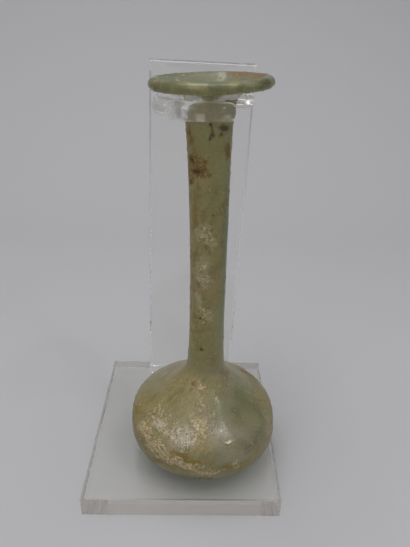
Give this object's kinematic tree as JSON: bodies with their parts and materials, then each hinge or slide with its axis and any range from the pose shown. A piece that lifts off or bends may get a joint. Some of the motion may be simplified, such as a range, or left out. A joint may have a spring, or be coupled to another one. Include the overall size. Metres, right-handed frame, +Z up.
{
  "type": "glass unguentarium",
  "caption": "Long-necked free-blown glass flask with a squat bulb and broad rounded rim, weathered, standing on a clear acrylic display mount with a slotted neck collar.",
  "frame": {"origin": "centre of the base plate's underside", "axes": "+Z up the vessel, -Y towards the front, the upright at +Y"},
  "size_m": [0.1, 0.11, 0.2044],
  "materials": {
    "weathered_glass": "translucent grey-green glass with sandy and olive weathering crust, satin",
    "clear_acrylic": "clear acrylic sheet, polished"
  },
  "bodies": {
    "root": {"base_plate": "clear_acrylic", "upright": "clear_acrylic", "neck_collar": "clear_acrylic", "glass_vessel": "weathered_glass"}
  },
  "joints": []
}
